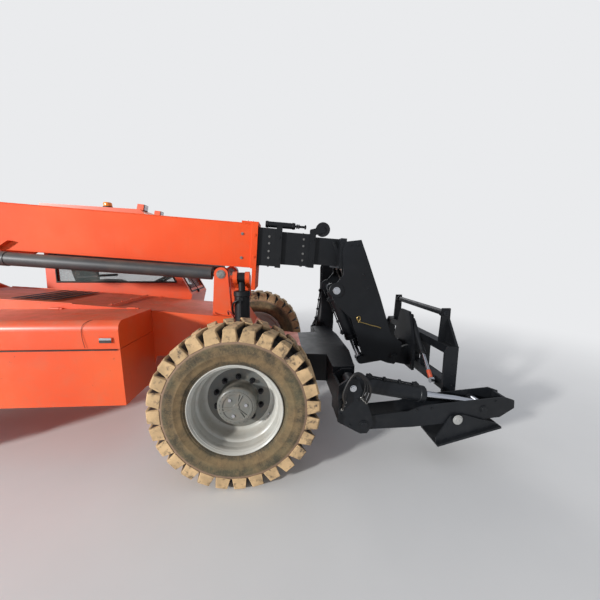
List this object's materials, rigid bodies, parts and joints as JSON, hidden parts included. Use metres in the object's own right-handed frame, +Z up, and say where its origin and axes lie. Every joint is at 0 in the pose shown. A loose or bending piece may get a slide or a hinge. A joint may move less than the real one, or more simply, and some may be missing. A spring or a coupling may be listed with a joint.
{
  "type": "telehandler",
  "caption": "Fixed-frame telehandler with a long telescopic boom, side cab, engine cowl, lugged tyres, front outriggers and a fork carriage without forks",
  "frame": {"origin": "on the ground under the middle of the bounding box", "axes": "+X is forward along the boom, +Y is to the left, +Z is up"},
  "size_m": [6.9021, 2.485, 2.45],
  "materials": {
    "body_paint": "satin orange paint under a thin coat of dust",
    "black_paint": "satin black paint, dusty",
    "axle_paint": "dark grey paint under dried mud",
    "rim_paint": "off-white paint, dusty",
    "tyre_rubber": "worn rubber with dried tan mud",
    "rod_chrome": "hard chrome plating",
    "pane": "clear glass with a slight tint",
    "engine_iron": "bare cast iron",
    "seat_vinyl": "black vinyl",
    "dash_plastic": "textured black plastic"
  },
  "bodies": {
    "chassis": {"frame": "body_paint", "front_crossmember": "black_paint", "counterweight": "body_paint", "tank": "body_paint", "sway_cylinder": "black_paint", "engine_block": "engine_iron", "cowl": "body_paint", "cab_shell": "body_paint", "cab_glass": "pane", "seat": "seat_vinyl", "console": "dash_plastic", "front_axle": "axle_paint", "rear_axle": "axle_paint"},
    "hood": {"hood": "body_paint"},
    "door": {"cab_door": "body_paint", "door_glass": "pane"},
    "knuckle_front_right": {"knuckle_front_right": "axle_paint"},
    "wheel_front_right": {"tyre_front_right": "tyre_rubber", "rim_front_right": "rim_paint"},
    "knuckle_front_left": {"knuckle_front_left": "axle_paint"},
    "wheel_front_left": {"tyre_front_left": "tyre_rubber", "rim_front_left": "rim_paint"},
    "knuckle_rear_right": {"knuckle_rear_right": "axle_paint"},
    "wheel_rear_right": {"tyre_rear_right": "tyre_rubber", "rim_rear_right": "rim_paint"},
    "knuckle_rear_left": {"knuckle_rear_left": "axle_paint"},
    "wheel_rear_left": {"tyre_rear_left": "tyre_rubber", "rim_rear_left": "rim_paint"},
    "boom": {"boom_outer": "body_paint"},
    "boom_second": {"boom_second": "black_paint"},
    "boom_third": {"boom_third": "black_paint"},
    "boom_head": {"boom_inner": "black_paint", "gooseneck": "black_paint"},
    "quick_attach": {"quick_attach": "black_paint"},
    "carriage": {"carriage": "black_paint"},
    "tilt_barrel": {"tilt_barrel": "black_paint"},
    "tilt_rod": {"tilt_rod": "rod_chrome"},
    "side_tilt_barrel": {"side_tilt_barrel": "black_paint"},
    "side_tilt_rod": {"side_tilt_rod": "rod_chrome"},
    "lift_barrels": {"lift_barrels": "black_paint"},
    "lift_rods": {"lift_rods": "rod_chrome"},
    "outrigger_leg_right": {"outrigger_leg_right": "black_paint"},
    "outrigger_foot_right": {"outrigger_foot_right": "black_paint"},
    "outrigger_barrel_right": {"outrigger_barrel_right": "black_paint"},
    "outrigger_rod_right": {"outrigger_rod_right": "rod_chrome"},
    "outrigger_leg_left": {"outrigger_leg_left": "black_paint"},
    "outrigger_foot_left": {"outrigger_foot_left": "black_paint"},
    "outrigger_barrel_left": {"outrigger_barrel_left": "black_paint"},
    "outrigger_rod_left": {"outrigger_rod_left": "rod_chrome"}
  },
  "joints": [
    {"name": "steer_front_right", "type": "hinge", "parent": "chassis", "child": "knuckle_front_right", "pos_m": [1.0989, -0.8, 0.64], "axis": [0, 0, 1], "range_deg": [-30, 30]},
    {"name": "spin_front_right", "type": "hinge", "parent": "knuckle_front_right", "child": "wheel_front_right", "pos_m": [1.0989, -1.05, 0.64], "axis": [0, 1, 0], "continuous": true},
    {"name": "steer_front_left", "type": "hinge", "parent": "chassis", "child": "knuckle_front_left", "pos_m": [1.0989, 0.8, 0.64], "axis": [0, 0, 1], "range_deg": [-30, 30]},
    {"name": "spin_front_left", "type": "hinge", "parent": "knuckle_front_left", "child": "wheel_front_left", "pos_m": [1.0989, 1.05, 0.64], "axis": [0, 1, 0], "continuous": true},
    {"name": "steer_rear_right", "type": "hinge", "parent": "chassis", "child": "knuckle_rear_right", "pos_m": [-2.4611, -0.8, 0.64], "axis": [0, 0, 1], "range_deg": [-30, 30]},
    {"name": "spin_rear_right", "type": "hinge", "parent": "knuckle_rear_right", "child": "wheel_rear_right", "pos_m": [-2.4611, -1.05, 0.64], "axis": [0, 1, 0], "continuous": true},
    {"name": "steer_rear_left", "type": "hinge", "parent": "chassis", "child": "knuckle_rear_left", "pos_m": [-2.4611, 0.8, 0.64], "axis": [0, 0, 1], "range_deg": [-30, 30]},
    {"name": "spin_rear_left", "type": "hinge", "parent": "knuckle_rear_left", "child": "wheel_rear_left", "pos_m": [-2.4611, 1.05, 0.64], "axis": [0, 1, 0], "continuous": true},
    {"name": "boom_lift", "type": "hinge", "parent": "chassis", "child": "boom", "pos_m": [-3.0511, 0, 2.165], "axis": [0, -1, 0], "range_deg": [0, 70]},
    {"name": "boom_extend", "type": "slide", "parent": "boom", "child": "boom_second", "axis": [0.9978, 0, -0.0663], "range_m": [0, 3.4]},
    {"name": "boom_extend_third", "type": "slide", "parent": "boom_second", "child": "boom_third", "axis": [0.9978, 0, -0.0663], "range_m": [0, 3.4]},
    {"name": "boom_extend_head", "type": "slide", "parent": "boom_third", "child": "boom_head", "axis": [0.9978, 0, -0.0663], "range_m": [0, 3.4]},
    {"name": "fork_tilt", "type": "hinge", "parent": "boom_head", "child": "quick_attach", "pos_m": [2.70767, 0, 0.66134], "axis": [0, 1, 0], "range_deg": [-15, 75]},
    {"name": "side_tilt", "type": "hinge", "parent": "quick_attach", "child": "carriage", "pos_m": [2.92567, 0, 0.72134], "axis": [1, 0, 0], "range_deg": [-10, 10]},
    {"name": "tilt_barrel_swing", "type": "hinge", "parent": "boom_head", "child": "tilt_barrel", "pos_m": [2.01467, 0, 1.43334], "axis": [0, -1, 0], "range_deg": [-5.12, 25.4]},
    {"name": "tilt_rod_slide", "type": "slide", "parent": "tilt_barrel", "child": "tilt_rod", "axis": [0.3939, 0, -0.9191], "range_m": [-0.20802, 0.042]},
    {"name": "side_tilt_barrel_swing", "type": "hinge", "parent": "quick_attach", "child": "side_tilt_barrel", "pos_m": [2.96367, -0.04, 1.10134], "axis": [1, 0, 0], "range_deg": [-6.77, 6.77]},
    {"name": "side_tilt_rod_slide", "type": "slide", "parent": "side_tilt_barrel", "child": "side_tilt_rod", "axis": [0, -0.6857, -0.7279], "range_m": [-0.051, 0.051]},
    {"name": "lift_barrels_swing", "type": "hinge", "parent": "chassis", "child": "lift_barrels", "pos_m": [0.8489, 0, 1.6], "axis": [0, -1, 0], "range_deg": [-28.36, 0]},
    {"name": "lift_rods_slide", "type": "slide", "parent": "lift_barrels", "child": "lift_rods", "axis": [-0.9977, 0, 0.0679], "range_m": [0, 1.17799]},
    {"name": "outrigger_right", "type": "hinge", "parent": "chassis", "child": "outrigger_leg_right", "pos_m": [2.1189, -0.93, 0.4], "axis": [0, -1, 0], "range_deg": [-12, 85.3]},
    {"name": "foot_right", "type": "hinge", "parent": "outrigger_leg_right", "child": "outrigger_foot_right", "pos_m": [2.92728, -0.93, 0.41629], "axis": [0, -1, 0], "range_deg": [-12, 8]},
    {"name": "outrigger_barrel_right_swing", "type": "hinge", "parent": "chassis", "child": "outrigger_barrel_right", "pos_m": [2.0189, -0.93, 0.72], "axis": [0, -1, 0], "range_deg": [-13.23, 93.75]},
    {"name": "outrigger_rod_right_slide", "type": "slide", "parent": "outrigger_barrel_right", "child": "outrigger_rod_right", "axis": [0.9803, 0, -0.1976], "range_m": [-0.43348, 0.06141]},
    {"name": "outrigger_left", "type": "hinge", "parent": "chassis", "child": "outrigger_leg_left", "pos_m": [2.1189, 0.93, 0.4], "axis": [0, -1, 0], "range_deg": [-97.3, 0]},
    {"name": "foot_left", "type": "hinge", "parent": "outrigger_leg_left", "child": "outrigger_foot_left", "pos_m": [2.1689, 0.93, 1.207], "axis": [0, -1, 0], "range_deg": [-12, 8]},
    {"name": "outrigger_barrel_left_swing", "type": "hinge", "parent": "chassis", "child": "outrigger_barrel_left", "pos_m": [2.0189, 0.93, 0.72], "axis": [0, -1, 0], "range_deg": [-103.9, 0]},
    {"name": "outrigger_rod_left_slide", "type": "slide", "parent": "outrigger_barrel_left", "child": "outrigger_rod_left", "axis": [0.1339, 0, 0.991], "range_m": [0, 0.49171]},
    {"name": "hood_hinge", "type": "hinge", "parent": "chassis", "child": "hood", "pos_m": [-0.7086, -0.437, 1.278], "axis": [-1, 0, 0], "range_deg": [0, 70]},
    {"name": "door_hinge", "type": "hinge", "parent": "chassis", "child": "door", "pos_m": [-1.4071, 1.213, 1.11], "axis": [0, 0, 1], "range_deg": [0, 90]}
  ],
  "couplings": [
    {"joint": "steer_front_left", "follows": "steer_front_right", "ratio": 1},
    {"joint": "steer_rear_left", "follows": "steer_rear_right", "ratio": 1},
    {"joint": "boom_extend_third", "follows": "boom_extend", "ratio": 1},
    {"joint": "boom_extend_head", "follows": "boom_extend", "ratio": 1},
    {"joint": "tilt_barrel_swing", "follows": "fork_tilt", "ratio": 0.33799},
    {"joint": "tilt_rod_slide", "follows": "fork_tilt", "m_per_rad": -0.15853},
    {"joint": "side_tilt_barrel_swing", "follows": "side_tilt", "ratio": 0.67216},
    {"joint": "side_tilt_rod_slide", "follows": "side_tilt", "m_per_rad": 0.28937},
    {"joint": "lift_barrels_swing", "follows": "boom_lift", "ratio": -0.40447},
    {"joint": "lift_rods_slide", "follows": "boom_lift", "m_per_rad": 0.96379},
    {"joint": "outrigger_barrel_right_swing", "follows": "outrigger_right", "ratio": 1.0985},
    {"joint": "outrigger_rod_right_slide", "follows": "outrigger_right", "m_per_rad": -0.29083},
    {"joint": "outrigger_barrel_left_swing", "follows": "outrigger_left", "ratio": 1.0673},
    {"joint": "outrigger_rod_left_slide", "follows": "outrigger_left", "m_per_rad": -0.28925}
  ]
}
